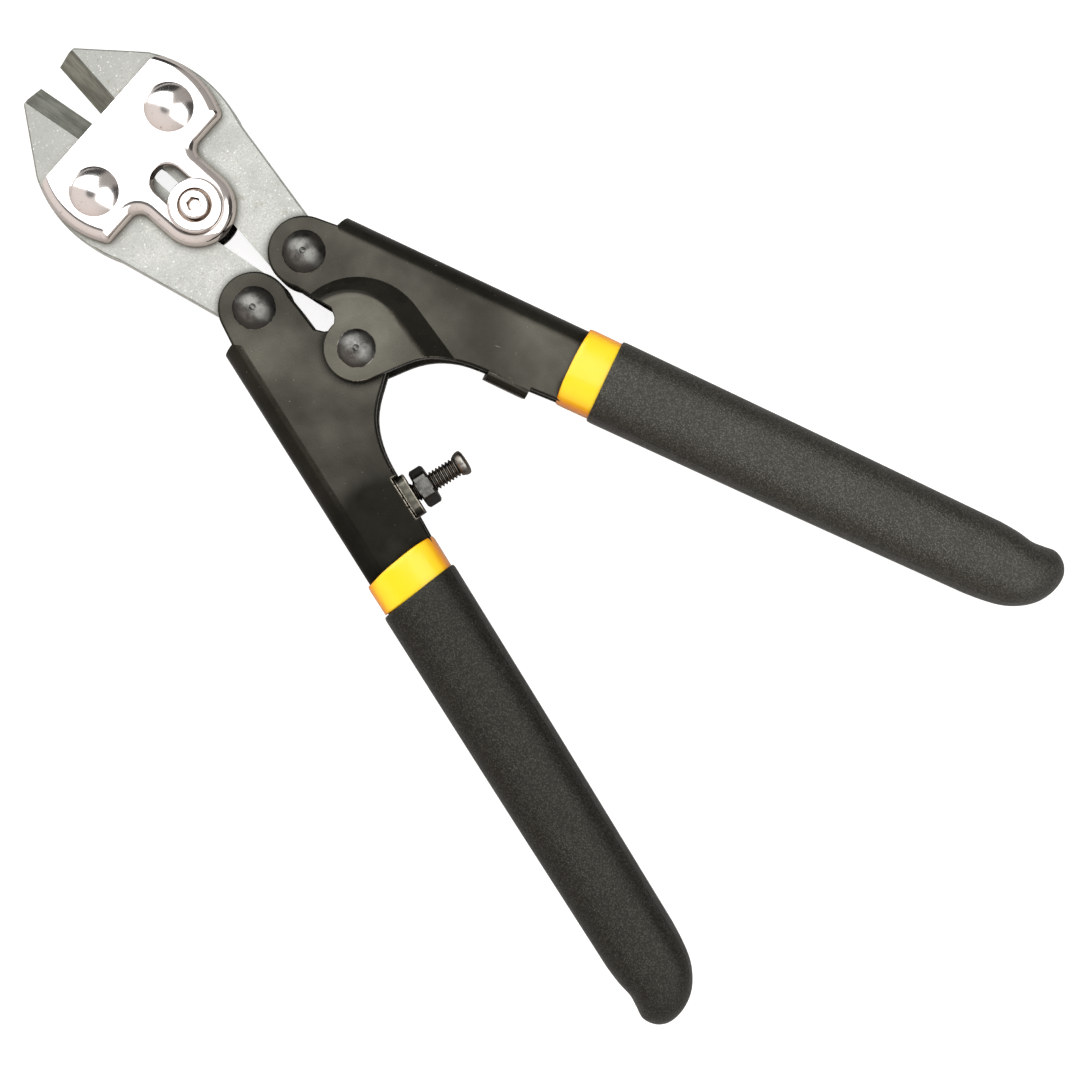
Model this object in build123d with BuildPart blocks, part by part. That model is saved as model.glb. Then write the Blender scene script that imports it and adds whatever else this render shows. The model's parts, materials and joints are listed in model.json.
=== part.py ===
from build123d import *
from math import atan2, cos, degrees, radians, sin, sqrt
import os

# An 8-inch hand bolt cutter, lying flat and open. +Z is up, +Y points to the jaws, and the
# left and right halves mirror each other about x = 0. Plan positions are given from the middle
# of the jaw pivots, and heights from the tool's mid-plane.

os.makedirs("parts", exist_ok=True)

# ---- where the tool stands -------------------------------------------------------------
jaw_line_y = 79.56         # y of the line through the two jaw pivots
mid_z = 7.0                # height of the mid-plane above the surface the tool lies on

# ---- the linkage, at rest (open) -------------------------------------------------------
jaw_pivot = (10.3, 0.0)
link_pivot = (6.87, -35.8)      # jaw tail to handle
centre_pivot = (0.0, -55.0)     # handle to handle
jaw_opening = 7.0               # degrees that each cutting edge stands open
handle_angle = 16.3             # degrees from each handle to the tool's centre line
running_gap = 0.05              # clearance of a moving fit
fixed_gap = 0.02                # clearance of a fit that doesn't move

# ---- layers, as heights from the mid-plane ---------------------------------------------
jaw_half = 2.0
wall_inner = 2.05               # plates and handle walls lie either side of the jaws
sheet = 1.8
wall_outer = wall_inner + sheet
lug_inner = wall_outer + running_gap
lug_outer = lug_inner + sheet
plate_outer = 4.65
tool_half = 7.0                 # rivet domes and grips reach this height

# ---- head plates -----------------------------------------------------------------------
plate_front_y = 8.3
plate_corner_x = 16.3
plate_side = (18.1, 1.0)
plate_rear = (15.7, -7.75)
neck_half = 7.35
nose_y = -15.3
plate_edge_radius = 2.2
plate_corner_start = (14.5, 8.3)    # the front corners are rounded between these points
plate_corner_middle = (16.3, 7.65)
plate_corner_end = (17.05, 6.0)
slot_front_y = (-8.73, -6.2)        # front plate, rear plate
slot_rear_y = -15.9
slot_half = 3.07

# ---- jaws ------------------------------------------------------------------------------
edge_gap = 0.05                 # half the gap between the shut edges
edge_length = 20.3              # from the pivot line to the tip
edge_land = 0.15                # half the thickness of the cutting edge
bevel_width = 3.9
bevel_start = 3.0
jaw_nose_x = 6.9                # blunt corner beside the tip
jaw_nose_round = 0.8
jaw_shoulder = (15.5, 10.6)
jaw_shoulder_round = 6.0
jaw_side = (18.7, -0.3)
jaw_back = (16.9, -10.9)        # the round back ends and the tail starts
jaw_tail = [                    # round the tail and back to the cutting edge
    (11.8, -34.6),
    (0.55, -34.6),
    (3.0, -16.0),
    (3.0, -12.4),
    (1.25, -10.2),
    (1.25, -5.5),
    (0.15, -0.5),
]
jaw_edge_round = 0.5
tail_radius = 5.9
tooth_radius = 1.6
notch_radius = 1.85

# ---- rivets ----------------------------------------------------------------------------
jaw_rivet_radius = 2.5
jaw_rivet_head = 4.6
jaw_rivet_top = 6.6
link_rivet_radius = 2.0
link_rivet_head = 4.03
link_rivet_top = 5.65
centre_rivet_head = 3.58
open_pivot_gap = 0.25           # play of the left handle on the centre rivet

# ---- handles: s runs along the handle from the grip's front end, t points outwards -------
grip_front = (23.95, -85.95)    # where s and t are 0
link_lug_radius = 6.7
centre_lug_radius = 6.1
fold_t = 7.12                   # outer face of the folded back
bend_t = fold_t - wall_outer    # where the flat walls end and the fold begins
edge_round = 0.45               # rounding of the sheet's outer edges
lug_edge_round = 0.2
joggle_round = 3.0              # soft bend round the raised lug
step_x = 14.6
step_y = -37.1                  # front end of the fold
lug_edge_point = (13.09, -33.31)
bend_start_s = -48.3
fold_start_s = -50.0
inner_edge_end = (-13.0, -7.87)     # s and t where the inner edge starts its sweep
inner_sweep = [(9.95, -69.2), (7.5, -66.1), (3.0, -63.15)]
inner_sweep_directions = [(0.30, 0.954), (0.905, 0.425)]
lug_inner_edge = [              # from the sweep to the link lug
    (-2.59, -60.52),
    (-2.0, -55.0),
    (0.0, -49.5),
    (1.6, -48.2),
    (2.45, -46.6),
    (1.5, -42.0),
    (0.3, -34.5),
]
channel_end_s = 76.0
channel_end_t = -5.5
channel_edge_t = -7.15          # walls' inner edge at the grip's front end
tab_s = -8.87                   # screw axis and middle of both tabs
tab_length = 8.2
screw_tab_t = -8.9              # outer faces of the tabs
stop_tab_t = -9.5
stop_tab_lean = 1.2             # how far the stop tab's free end leans outwards
tab_top = 3.3
tab_gap = 0.25                  # between the screw's tab and the notch that it stands in

joggle_direction = (-0.21, -0.977)
joggle_reach = 16.0
joggle_foot_radius = 13.3
joggle_top_radius = 10.0
joggle_top_centre = (-0.8, -54.0)

# ---- grips -----------------------------------------------------------------------------
sleeve_front_half = 7.6
sleeve_end = (80.0, 7.4, -6.4)  # s, outer t, inner t
sleeve_half_height = 6.3
sleeve_round = 3.0
grip_start_s = 6.9
grip_start_half = 8.1
grip_round = 3.0

# ---- lock ------------------------------------------------------------------------------
lock_y = -15.8
lock_boss_radius = 3.0
lock_disc_radius = 5.05
lock_disc = (4.7, 6.1)          # bottom and top of the front disc
lock_head_radius = 2.65
lock_groove = 0.55              # gap round the screw's head in its counterbore
lock_head = (5.5, 6.9)
lock_shank_radius = 1.0
lock_socket_flats = 2.5
back_disc_radius = 4.6
back_disc = (-6.3, -5.0)
washer = (-4.97, -4.68)

# ---- adjusting screw, M4 ---------------------------------------------------------------
screw_radius = 1.95
screw_hole_radius = 2.0
screw_tail_t = -3.5
screw_head_t = (-18.2, -20.4)
screw_head_radius = 2.45
screw_slot = (0.8, 0.9)         # width and depth
nut_t = (-9.8, -12.7)
nut_flats = 7.0


def place(x, y, side=1):
    """A plan point given from the middle of the jaw pivots, mirrored when side is -1."""
    return (side * x, jaw_line_y + y)


def level(height):
    """The horizontal plane at a height from the mid-plane."""
    return Plane.XY.offset(mid_z + height)


def on_handle(s, t, side=1):
    """A plan point on a handle, s along it and t outwards."""
    angle = radians(handle_angle)
    x = grip_front[0] + s * sin(angle) + t * cos(angle)
    y = grip_front[1] - s * cos(angle) + t * sin(angle)
    return place(x, y, side)


def handle_direction(side=1):
    """Unit vector along a handle, towards the grip's end."""
    angle = radians(handle_angle)
    return Vector(side * sin(angle), -cos(angle))


def along_handle(s, t, side=1):
    """A plane across a handle: its normal runs along the handle, its x axis points outwards."""
    angle = radians(handle_angle)
    x, y = on_handle(s, t, side)
    outwards = (side * cos(angle), sin(angle), 0)
    down = (side * sin(angle), -cos(angle), 0)
    return Plane(origin=(x, y, mid_z), x_dir=outwards, z_dir=down)


def across_handle(s, t, side=1):
    """A plane facing inwards from a handle, with its x axis along the handle."""
    angle = radians(handle_angle)
    x, y = on_handle(s, t, side)
    inwards = (-side * cos(angle), -sin(angle), 0)
    sideways = (side * sin(angle), -cos(angle), 0)
    return Plane(origin=(x, y, mid_z), x_dir=sideways, z_dir=inwards)


def edge_point(along):
    """A point of the right jaw's open cutting edge, so far ahead of the pivot when shut."""
    angle = radians(jaw_opening)
    reach = jaw_pivot[0] - edge_gap
    return (jaw_pivot[0] - reach * cos(angle) + along * sin(angle), reach * sin(angle) + along * cos(angle))


def finish(part, name):
    part.label = name
    export_step(part, f"parts/{name}.step")


def domed_rivet(centre, shank_radius, seat, head_radius, top, dimple=False):
    """A rivet with the same domed head at both ends."""
    x, y = centre
    rise = top - seat
    sphere_radius = (head_radius**2 + rise**2) / (2 * rise)
    half_radius = head_radius / 2
    half_height = top - sphere_radius + sqrt(sphere_radius**2 - half_radius**2)
    upright = Plane(origin=(x, y, mid_z), x_dir=(1, 0, 0), z_dir=(0, -1, 0))
    with BuildPart() as rivet:
        with BuildSketch(upright):
            with BuildLine():
                ThreePointArc((0, top), (half_radius, half_height), (head_radius, seat))
                Line((head_radius, seat), (shank_radius, seat))
                Line((shank_radius, seat), (shank_radius, -seat))
                Line((shank_radius, -seat), (head_radius, -seat))
                ThreePointArc((head_radius, -seat), (half_radius, -half_height), (0, -top))
                Line((0, -top), (0, top))
            make_face()
        revolve(axis=Axis((x, y, mid_z), (0, 0, 1)))
        if dimple:
            with Locations((x, y, mid_z + top + 0.75)):
                Sphere(1.0, mode=Mode.SUBTRACT)
    return rivet.part


def head_plate(facing):
    """The front plate (facing 1) or the rear plate (facing -1). Its front edge is cut off square."""
    slot_front = slot_front_y[0 if facing > 0 else 1]
    with BuildPart() as plate:
        with BuildSketch(level(facing * wall_inner)) as outline:
            with BuildLine():
                Line(place(-plate_corner_x, plate_front_y), place(plate_corner_x, plate_front_y))
                for side in (-1, 1):
                    corner = place(plate_corner_x, plate_front_y, side)
                    rear = place(*plate_rear, side)
                    ThreePointArc(corner, place(*plate_side, side), rear)
                    neck_front = place(neck_half, plate_rear[1], side)
                    Polyline(rear, neck_front, place(neck_half, nose_y, side))
                nose = place(0, nose_y - neck_half)
                ThreePointArc(place(-neck_half, nose_y), nose, place(neck_half, nose_y))
            make_face()
            rear_corners = outline.vertices().filter_by(lambda v: abs(v.Y - place(*plate_rear)[1]) < 0.01)
            fillet(rear_corners.filter_by(lambda v: abs(v.X) > 10), radius=1.2)
            neck_corners = outline.vertices().filter_by(lambda v: abs(abs(v.X) - neck_half) < 0.01)
            fillet(neck_corners.group_by(Axis.Y)[-1], radius=2.2)
        extrude(amount=facing * (plate_outer - wall_inner))
        outer_face = plate.faces().sort_by(Axis.Z)[-1 if facing > 0 else 0]
        pressed_edges = outer_face.outer_wire().edges().sort_by(Axis.Y)[:-1]
        fillet(pressed_edges, radius=plate_edge_radius)
        with BuildSketch(level(0)):
            with Locations(place(0, (slot_front + slot_rear_y) / 2)):
                SlotCenterToCenter(slot_front - slot_rear_y, 2 * slot_half, rotation=90)
            with Locations(place(*jaw_pivot), place(*jaw_pivot, -1)):
                Circle(jaw_rivet_radius + fixed_gap)
            for side in (-1, 1):
                with BuildLine():
                    start = place(*plate_corner_start, side)
                    end = place(*plate_corner_end, side)
                    ThreePointArc(start, place(*plate_corner_middle, side), end)
                    outside = place(plate_corner_end[0] + 3, plate_corner_start[1] + 3, side)
                    Polyline(end, (outside[0], end[1]), outside, (start[0], outside[1]), start)
                make_face()
        extrude(amount=facing * 2 * plate_outer, mode=Mode.SUBTRACT)
        outer_face = plate.faces().filter_by(Plane.XY).sort_by(Axis.Z)[-1 if facing > 0 else 0]
        slot_rim = outer_face.inner_wires().sort_by(SortBy.LENGTH)[-1]
        fillet(slot_rim.edges(), radius=0.4)
    return plate.part


def jaw(side):
    """The right (1) or left (-1) jaw. The left one carries the timing tooth."""
    tip = edge_point(edge_length)
    heel = edge_point(0)
    with BuildPart() as blade:
        with BuildSketch(level(-jaw_half)) as outline:
            with BuildLine():
                nose = place(jaw_nose_x, tip[1], side)
                shoulder_point = place(*jaw_shoulder, side)
                back_end = place(*jaw_back, side)
                Polyline(place(*heel, side), place(*tip, side), nose, shoulder_point)
                ThreePointArc(shoulder_point, place(*jaw_side, side), back_end)
                tail = [place(*point, side) for point in jaw_tail]
                Polyline(back_end, *tail, place(*heel, side))
            make_face()
            fillet(outline.vertices().sort_by_distance(shoulder_point)[0], radius=jaw_shoulder_round)
            fillet(outline.vertices().sort_by_distance(nose)[0], radius=jaw_nose_round)
            with Locations(place(*link_pivot, side)):
                Circle(tail_radius)
            timing_angle = radians(jaw_opening / 2)
            meet_x = jaw_pivot[0] * (1 - cos(timing_angle))
            meet_y = jaw_pivot[0] * sin(timing_angle)
            with Locations(place(meet_x, meet_y, side)):
                if side < 0:
                    Circle(tooth_radius)
                else:
                    Circle(notch_radius, mode=Mode.SUBTRACT)
            with Locations(place(*jaw_pivot, side)):
                Circle(jaw_rivet_radius + running_gap, mode=Mode.SUBTRACT)
            with Locations(place(*link_pivot, side)):
                Circle(link_rivet_radius + running_gap, mode=Mode.SUBTRACT)
        extrude(amount=2 * jaw_half)
        # the ground bevels, one above and one below the cutting edge
        angle = radians(jaw_opening)
        start_x, start_y = place(*edge_point(bevel_start), side)
        across_edge = (side * cos(angle), -sin(angle), 0)
        along_edge = (side * sin(angle), cos(angle), 0)
        with BuildSketch(Plane(origin=(start_x, start_y, mid_z), x_dir=across_edge, z_dir=along_edge)):
            for face in (-1, 1):
                with BuildLine():
                    Polyline(
                        (-1, face * edge_land),
                        (0, face * edge_land),
                        (bevel_width, face * jaw_half),
                        (bevel_width, face * 2 * jaw_half),
                        (-1, face * 2 * jaw_half),
                        (-1, face * edge_land),
                    )
                make_face()
        extrude(amount=edge_length, mode=Mode.SUBTRACT)
        flat_edges = blade.edges().filter_by(lambda e: abs(abs(e.center().Z - mid_z) - jaw_half) < 0.001)
        back_edges = flat_edges.filter_by(lambda e: abs(e.center().X) > 10.5 and e.length > 6.0)
        fillet(back_edges.filter_by(lambda e: e.center().Y > place(0, -30)[1]), radius=jaw_edge_round)
    return blade.part


def wall_outline(side):
    """Plan of one handle wall, from the link lug to the end inside the grip."""
    lug_edge = place(*lug_edge_point, side)
    step = place(step_x, step_y, side)
    bend_start = on_handle(bend_start_s, bend_t, side)
    bend_end = on_handle(channel_end_s, bend_t, side)
    inner_end = on_handle(channel_end_s, channel_end_t, side)
    at_grip = on_handle(0, channel_edge_t, side)
    tab_front = on_handle(*inner_edge_end, side)
    sweep = [place(*point, side) for point in inner_sweep]
    directions = [(-side * x, y) for x, y in inner_sweep_directions]
    lug_points = [place(*point, side) for point in lug_inner_edge]
    with BuildSketch() as outline:
        with BuildLine():
            Polyline(lug_edge, step, bend_start, bend_end, inner_end, at_grip, tab_front)
            Spline(tab_front, *sweep, tangents=directions)
            Polyline(sweep[-1], *lug_points, place(*link_pivot, side), lug_edge)
        make_face()
        with Locations(place(*link_pivot, side)):
            Circle(link_lug_radius)
        with Locations(place(*centre_pivot, side)):
            Circle(centre_lug_radius)
    return outline.sketch


def wall(outline, face, footprint=None):
    """One flat wall of a handle. Its outer edges are rounded, except those that meet the fold."""
    with BuildPart() as plate:
        with BuildSketch(level(face * wall_inner)):
            add(outline)
        extrude(amount=face * sheet)
        outer_face = plate.faces().sort_by(Axis.Z)[-1 if face > 0 else 0]
        rim = outer_face.outer_wire().edges()
        fold_line = rim.sort_by(SortBy.LENGTH)[-1]
        fillet(rim.filter_by(lambda e: e.distance_to(fold_line) > 0.01), radius=edge_round)
        if footprint is not None:
            with BuildSketch(level(face * wall_inner)):
                add(footprint)
            extrude(amount=face * sheet, mode=Mode.SUBTRACT)
    return plate.part


def fold(side):
    """The rounded back that joins the two walls, cut square at its front end."""
    with BuildPart() as back:
        with BuildSketch(along_handle(fold_start_s, bend_t, side)):
            Circle(wall_outer)
            Circle(wall_inner, mode=Mode.SUBTRACT)
            with Locations((-wall_outer, 0)):
                Rectangle(2 * wall_outer, 3 * wall_outer, mode=Mode.SUBTRACT)
        extrude(amount=channel_end_s - fold_start_s)
        with BuildSketch(level(-2 * wall_outer)):
            with Locations(place(15.0, step_y + 5.0, side)):
                Rectangle(20.0, 10.0)
        extrude(amount=4 * wall_outer, mode=Mode.SUBTRACT)
    return back.part


def joggle(face, outline):
    """The part of the right handle's wall that steps out over the left handle's lug."""
    direction = Vector(*joggle_direction)
    low_start = Vector(*place(*centre_pivot))
    low_end = low_start + direction * joggle_reach
    high_start = Vector(*place(*joggle_top_centre))
    high_end = high_start + direction * joggle_reach
    low_slot = SlotCenterPoint((low_start + low_end) / 2, low_end, 2 * joggle_foot_radius)
    high_slot = SlotCenterPoint((high_start + high_end) / 2, high_end, 2 * joggle_top_radius)
    with BuildPart() as lug:
        with BuildSketch(level(face * wall_inner)):
            add(low_slot)
        extrude(amount=face * sheet)
        with BuildSketch(level(face * wall_outer)):
            add(low_slot)
        with BuildSketch(level(face * lug_outer)):
            add(high_slot)
        loft(ruled=True)
        outer_face = lug.faces().sort_by(Axis.Z)[-1 if face > 0 else 0]
        fillet(outer_face.edges(), radius=joggle_round)
        with BuildSketch(level(face * wall_inner)):
            add(low_slot)
        with BuildSketch(level(face * lug_inner)):
            add(high_slot)
        loft(ruled=True, mode=Mode.SUBTRACT)
        with BuildSketch(level(face * wall_inner)):
            add(outline)
        extrude(amount=face * 2 * sheet + face * running_gap, mode=Mode.INTERSECT)
        boundary = outline.face().outer_wire()

        def on_outer_rim(edge):
            middle = edge @ 0.5
            height = face * (middle.Z - mid_z)
            on_boundary = boundary.distance_to(Vertex(middle.X, middle.Y, 0)) < 0.01
            return on_boundary and height > wall_outer + 0.1 and abs((edge % 0.5).Z) < 0.9

        fillet(lug.edges().filter_by(on_outer_rim), radius=lug_edge_round)
    return lug.part, low_slot


def tab(side, outer_t, root, top, lean=0.0):
    """A tab bent out of one wall, with rounded free corners; its free end may lean outwards."""
    low, high = min(root, top), max(root, top)
    lean_angle = degrees(atan2(lean, high - low))
    face = across_handle(tab_s, outer_t + sheet, side)
    upwards = Vector(0, 0, 1)
    hinge = Plane(origin=face.origin + upwards * root, x_dir=upwards.cross(face.z_dir), z_dir=face.z_dir)
    leaning = hinge.rotated((lean_angle if top < root else -lean_angle, 0, 0))
    with BuildPart() as plate:
        with BuildSketch(leaning) as shape:
            with Locations((0, (low + high) / 2 - root)):
                Rectangle(tab_length, high - low)
            corners = shape.vertices().sort_by(Axis.Y)
            fillet(corners[-2:] if top > root else corners[:2], radius=1.8)
        extrude(amount=sheet)
        outer_root = hinge.origin + face.z_dir * sheet
        fillet(plate.edges().sort_by_distance(outer_root)[0], radius=1.5)
    return plate.part


def tab_notch(side, outer_t):
    """The cut in the upper wall that a tab from the lower wall stands in."""
    start_s, end_s = tab_s - tab_length / 2 - tab_gap, tab_s + tab_length / 2 + tab_gap
    start_t, end_t = outer_t + sheet + tab_gap, outer_t - 1
    corners = [
        on_handle(start_s, start_t, side),
        on_handle(end_s, start_t, side),
        on_handle(end_s, end_t, side),
        on_handle(start_s, end_t, side),
    ]
    with BuildPart() as cut:
        with BuildSketch(level(wall_inner - tab_gap)):
            with BuildLine():
                Polyline(*corners, close=True)
            make_face()
        extrude(amount=sheet + 2 * tab_gap)
    return cut.part


def tab_root(side, outer_t, face):
    """The strip of wall that leads out to a tab's bend."""
    corners = [
        on_handle(tab_s - tab_length / 2, outer_t + sheet + 2.0, side),
        on_handle(tab_s + tab_length / 2, outer_t + sheet + 2.0, side),
        on_handle(tab_s + tab_length / 2, outer_t + sheet, side),
        on_handle(tab_s - tab_length / 2, outer_t + sheet, side),
    ]
    with BuildPart() as strip:
        with BuildSketch(level(face * wall_inner)):
            with BuildLine():
                Polyline(*corners, close=True)
            make_face()
        extrude(amount=face * sheet)
    return strip.part


def sleeve_core(side):
    """Outer shape of the yellow sleeve, as a full solid."""
    end_s, end_outer, end_inner = sleeve_end
    with BuildPart() as core:
        with BuildSketch(level(-sleeve_half_height)):
            with BuildLine():
                Polyline(
                    on_handle(0, sleeve_front_half, side),
                    on_handle(end_s, end_outer, side),
                    on_handle(end_s, end_inner, side),
                    on_handle(0, -sleeve_front_half, side),
                    close=True,
                )
            make_face()
        extrude(amount=2 * sleeve_half_height)
        long_edges = core.edges().filter_by(lambda e: e.length > end_s / 2)
        fillet(long_edges, radius=sleeve_round)
    return core.part


def grip_sleeve(side):
    """The yellow sleeve, open where the channel goes in."""
    cavity_end = channel_end_s + 0.1
    slack = fixed_gap
    with BuildPart() as sleeve:
        add(sleeve_core(side))
        with BuildSketch(level(-wall_outer - slack)):
            with BuildLine():
                Polyline(
                    on_handle(-1, bend_t, side),
                    on_handle(cavity_end, bend_t, side),
                    on_handle(cavity_end, channel_end_t - slack, side),
                    on_handle(0, channel_edge_t - slack, side),
                    on_handle(-1, channel_edge_t - slack, side),
                    close=True,
                )
            make_face()
        extrude(amount=2 * (wall_outer + slack), mode=Mode.SUBTRACT)
        with BuildSketch(along_handle(-1, bend_t, side)):
            Circle(wall_outer + slack)
        extrude(amount=cavity_end + 1, mode=Mode.SUBTRACT)
    return sleeve.part


def grip(side):
    """The black outer grip with its bulbed end."""
    with BuildPart() as body:
        with BuildSketch(level(-tool_half)):
            with BuildLine():
                inner_front = on_handle(grip_start_s, -grip_start_half, side)
                outer_front = on_handle(grip_start_s, grip_start_half, side)
                Polyline(inner_front, outer_front, on_handle(85.0, 7.7, side))
                Spline(
                    on_handle(85.0, 7.7, side),
                    on_handle(91.0, 6.9, side),
                    on_handle(95.0, 7.3, side),
                    on_handle(98.9, 3.0, side),
                    on_handle(96.3, -3.4, side),
                    on_handle(85.0, -7.1, side),
                    tangents=(handle_direction(side), -handle_direction(side)),
                )
                Line(on_handle(85.0, -7.1, side), inner_front)
            make_face()
        extrude(amount=2 * tool_half)
        rims = body.edges().filter_by(lambda e: abs(abs(e.center().Z - mid_z) - tool_half) < 0.001)
        front_y = place(*grip_front)[1] - grip_start_s
        fillet(rims.filter_by(lambda e: e.center().Y < front_y - 2), radius=grip_round)
        add(sleeve_core(side), mode=Mode.SUBTRACT)
    return body.part


def round_bar(plane, start, end, radius):
    """A plain bar between two distances along a plane's normal."""
    with BuildPart() as bar:
        with BuildSketch(plane.offset(start)):
            Circle(radius)
        extrude(amount=end - start)
    return bar.part


# ---- head ------------------------------------------------------------------------------
finish(head_plate(1), "front_plate")
finish(head_plate(-1), "rear_plate")
for side, word in ((-1, "left"), (1, "right")):
    pivot = place(*jaw_pivot, side)
    rivet = domed_rivet(pivot, jaw_rivet_radius, plate_outer, jaw_rivet_head, jaw_rivet_top)
    finish(rivet, f"{word}_jaw_rivet")
    finish(jaw(side), f"{word}_jaw")

# ---- handles ---------------------------------------------------------------------------
left_outline = wall_outline(-1)
right_outline = wall_outline(1)

with BuildPart() as left_handle_channel:
    add(wall(left_outline, 1))
    add(wall(left_outline, -1))
    add(fold(-1))
    # the upper wall is notched round the tab that comes up from the lower wall
    add(tab_notch(-1, screw_tab_t), mode=Mode.SUBTRACT)
    add(tab_root(-1, screw_tab_t, -1))
    add(tab(-1, screw_tab_t, -wall_outer, tab_top))
    screw_hole = round_bar(across_handle(tab_s, 0, -1), -screw_tab_t - 3, -screw_tab_t + 3, screw_hole_radius)
    add(screw_hole, mode=Mode.SUBTRACT)
    with BuildSketch(level(-tool_half)):
        with Locations(place(*link_pivot, -1)):
            Circle(link_rivet_radius + fixed_gap)
        with Locations(place(*centre_pivot)):
            Circle(link_rivet_radius + open_pivot_gap)
    extrude(amount=2 * tool_half, mode=Mode.SUBTRACT)
finish(left_handle_channel.part, "left_handle_channel")

upper_lug, joggle_footprint = joggle(1, right_outline)
lower_lug = joggle(-1, right_outline)[0]
with BuildPart() as right_handle_channel:
    add(wall(right_outline, 1, joggle_footprint))
    add(wall(right_outline, -1, joggle_footprint))
    add(fold(1))
    add(upper_lug)
    add(lower_lug)
    add(tab_root(1, stop_tab_t, 1))
    add(tab(1, stop_tab_t, wall_outer, -tab_top, stop_tab_lean))
    with BuildSketch(level(-tool_half)):
        with Locations(place(*link_pivot), place(*centre_pivot)):
            Circle(link_rivet_radius + fixed_gap)
    extrude(amount=2 * tool_half, mode=Mode.SUBTRACT)
finish(right_handle_channel.part, "right_handle_channel")

for side, word in ((-1, "left"), (1, "right")):
    link = domed_rivet(
        place(*link_pivot, side), link_rivet_radius, wall_outer, link_rivet_head, link_rivet_top, dimple=True
    )
    finish(link, f"{word}_link_rivet")
    finish(grip_sleeve(side), f"{word}_grip_sleeve")
    finish(grip(side), f"{word}_grip")

centre_rivet = domed_rivet(
    place(*centre_pivot), link_rivet_radius, lug_outer, centre_rivet_head, tool_half, dimple=True
)
finish(centre_rivet, "centre_rivet")

with BuildPart() as centre_spacer:
    with BuildSketch(level(-jaw_half)):
        with Locations(place(*centre_pivot)):
            Circle(4.0)
            Circle(link_rivet_radius + open_pivot_gap + 0.05, mode=Mode.SUBTRACT)
    extrude(amount=2 * jaw_half)
finish(centre_spacer.part, "centre_spacer")

# ---- lock ------------------------------------------------------------------------------
lock_axis = Plane(origin=(*place(0, lock_y), mid_z), x_dir=(1, 0, 0), z_dir=(0, 0, 1))

with BuildPart() as lock_button:
    with BuildSketch(lock_axis.offset(wall_inner + running_gap)):
        Circle(lock_boss_radius)
    extrude(amount=lock_disc[0] - wall_inner - running_gap)
    with BuildSketch(lock_axis.offset(lock_disc[0])):
        Circle(lock_disc_radius)
    extrude(amount=lock_disc[1] - lock_disc[0])
    fillet(lock_button.edges().group_by(Axis.Z)[-1], radius=0.5)
    with BuildSketch(lock_axis.offset(lock_head[0] - running_gap)):
        Circle(lock_head_radius + lock_groove)
    extrude(amount=lock_disc[1], mode=Mode.SUBTRACT)
    with BuildSketch(lock_axis):
        Circle(lock_shank_radius + fixed_gap)
    extrude(amount=lock_disc[1], mode=Mode.SUBTRACT)
finish(lock_button.part, "lock_button")

with BuildPart() as lock_screw:
    with BuildSketch(lock_axis.offset(back_disc[0])):
        Circle(lock_shank_radius)
    extrude(amount=lock_head[0] - back_disc[0])
    with BuildSketch(lock_axis.offset(lock_head[0])):
        Circle(lock_head_radius)
    extrude(amount=lock_head[1] - lock_head[0])
    fillet(lock_screw.edges().group_by(Axis.Z)[-1], radius=0.4)
    with BuildSketch(lock_axis.offset(lock_head[1])):
        RegularPolygon(lock_socket_flats / 2, 6, major_radius=False)
    extrude(amount=-1.2, mode=Mode.SUBTRACT)
finish(lock_screw.part, "lock_screw")

with BuildPart() as lock_back_button:
    with BuildSketch(lock_axis.offset(back_disc[0])):
        Circle(back_disc_radius)
    extrude(amount=back_disc[1] - back_disc[0])
    fillet(lock_back_button.edges().group_by(Axis.Z)[0], radius=0.5)
    with BuildSketch(lock_axis.offset(back_disc[1])):
        Circle(lock_boss_radius)
    extrude(amount=-wall_inner - running_gap - back_disc[1])
    with BuildSketch(lock_axis.offset(-tool_half)):
        Circle(lock_shank_radius + fixed_gap)
    extrude(amount=tool_half, mode=Mode.SUBTRACT)
finish(lock_back_button.part, "lock_back_button")

with BuildPart() as lock_spring_washer:
    with BuildSketch(lock_axis.offset(washer[0])):
        Circle(back_disc_radius - 0.2)
        Circle(lock_boss_radius + 0.1, mode=Mode.SUBTRACT)
    extrude(amount=washer[1] - washer[0])
finish(lock_spring_washer.part, "lock_spring_washer")

# ---- adjusting screw: distances along its axis grow inwards, as -t -----------------------
screw_axis = across_handle(tab_s, 0, -1)
head_base, head_end = -screw_head_t[0], -screw_head_t[1]

with BuildPart() as adjusting_screw:
    with BuildSketch(screw_axis.offset(-screw_tail_t)):
        Circle(screw_radius)
    extrude(amount=head_base + screw_tail_t)
    tail_end = Vector(*on_handle(tab_s, screw_tail_t, -1), mid_z)
    chamfer(adjusting_screw.edges().filter_by(GeomType.CIRCLE).sort_by_distance(tail_end)[0], 0.5)
    with BuildSketch(screw_axis.offset(head_base)):
        Circle(screw_head_radius)
    extrude(amount=head_end - head_base)
    driven_end = Vector(*on_handle(tab_s, -head_end, -1), mid_z)
    fillet(adjusting_screw.edges().filter_by(GeomType.CIRCLE).sort_by_distance(driven_end)[0], 1.2)
    with BuildSketch(screw_axis.offset(head_end)):
        Rectangle(screw_slot[0], 3 * screw_head_radius)
    extrude(amount=-screw_slot[1], mode=Mode.SUBTRACT)
finish(adjusting_screw.part, "adjusting_screw")

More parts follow.
